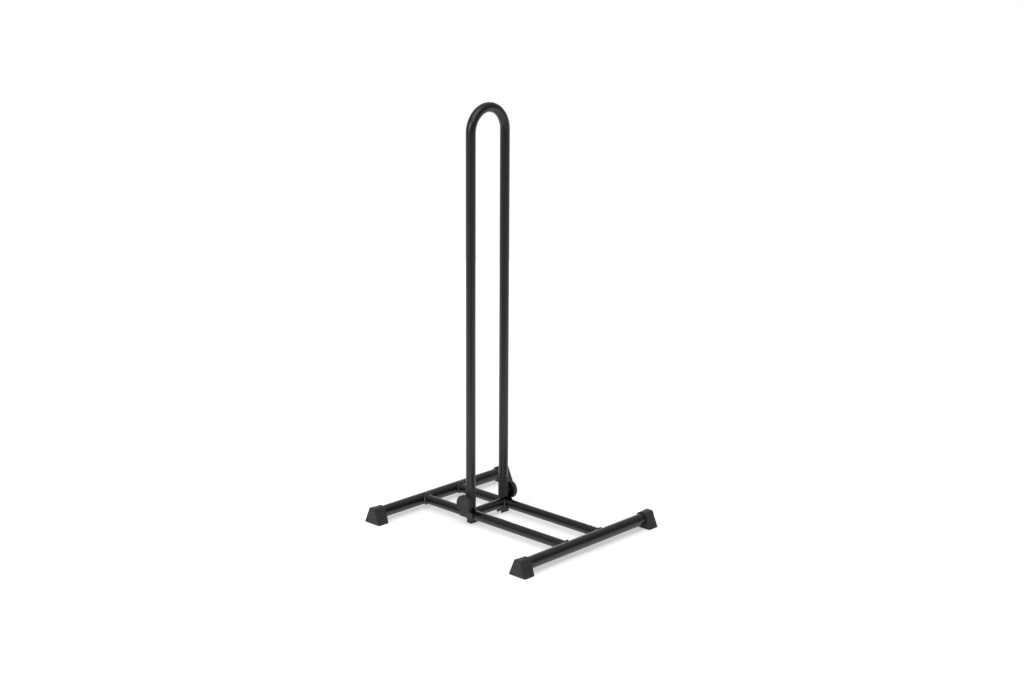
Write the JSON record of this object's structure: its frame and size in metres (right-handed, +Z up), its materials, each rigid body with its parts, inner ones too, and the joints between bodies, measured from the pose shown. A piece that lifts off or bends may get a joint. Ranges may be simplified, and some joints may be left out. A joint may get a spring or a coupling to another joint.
{
  "type": "floor bike rack",
  "caption": "Folding floor rack for one bicycle wheel: tube base with rails and foot caps, and a tall hoop on two clamped hand-knob pivots.",
  "frame": {"origin": "middle of the footprint, on the floor", "axes": "+X along the foot bars, +Y from the front where the wheel rolls in to the rear, +Z up"},
  "size_m": [0.413, 0.4706, 0.8918],
  "materials": {
    "powder_coat": "semi-gloss black powder coat",
    "foot_plastic": "matte dark grey moulded",
    "fitting_plastic": "satin dark grey moulded",
    "knob_plastic": "matte black moulded",
    "zinc_steel": "zinc plated",
    "black_steel": "black oxide",
    "brass": "turned",
    "nylon": "natural nylon"
  },
  "bodies": {
    "base": {"front_foot_bar": "powder_coat", "rear_foot_bar": "powder_coat", "left_rail": "powder_coat", "right_rail": "powder_coat", "cross_tube": "powder_coat", "left_hinge_bracket": "powder_coat", "right_hinge_bracket": "powder_coat", "left_middle_foot": "powder_coat", "right_middle_foot": "powder_coat", "front_left_foot_cap": "foot_plastic", "front_right_foot_cap": "foot_plastic", "rear_left_foot_cap": "foot_plastic", "rear_right_foot_cap": "foot_plastic"},
    "hoop": {"hoop": "powder_coat", "left_leg_fitting": "fitting_plastic", "right_leg_fitting": "fitting_plastic", "left_fitting_rivet": "black_steel", "right_fitting_rivet": "black_steel", "left_hinge_bolt": "black_steel", "right_hinge_bolt": "black_steel", "left_friction_washer": "nylon", "right_friction_washer": "nylon"},
    "left_washer": {"left_clamp_washer": "zinc_steel"},
    "right_washer": {"right_clamp_washer": "zinc_steel"},
    "left_knob": {"left_knob": "knob_plastic", "left_knob_insert": "brass"},
    "right_knob": {"right_knob": "knob_plastic", "right_knob_insert": "brass"}
  },
  "joints": [
    {"name": "hoop_fold", "type": "hinge", "parent": "base", "child": "hoop", "pos_m": [0, 0.0708, 0.0448], "axis": [1, 0, 0], "range_deg": [-90, 90]},
    {"name": "left_knob_travel", "type": "slide", "parent": "hoop", "child": "left_washer", "axis": [-1, 0, 0], "range_m": [0, 0.003]},
    {"name": "left_knob_turn", "type": "hinge", "parent": "left_washer", "child": "left_knob", "pos_m": [-0.06435, 0.0708, 0.0448], "axis": [-1, 0, 0], "range_deg": [0, 1080]},
    {"name": "right_knob_travel", "type": "slide", "parent": "hoop", "child": "right_washer", "axis": [1, 0, 0], "range_m": [0, 0.003]},
    {"name": "right_knob_turn", "type": "hinge", "parent": "right_washer", "child": "right_knob", "pos_m": [0.06435, 0.0708, 0.0448], "axis": [1, 0, 0], "range_deg": [0, 1080]}
  ],
  "couplings": [
    {"joint": "left_knob_travel", "follows": "left_knob_turn", "m_per_rad": 0.00015915},
    {"joint": "right_knob_travel", "follows": "right_knob_turn", "m_per_rad": 0.00015915}
  ]
}
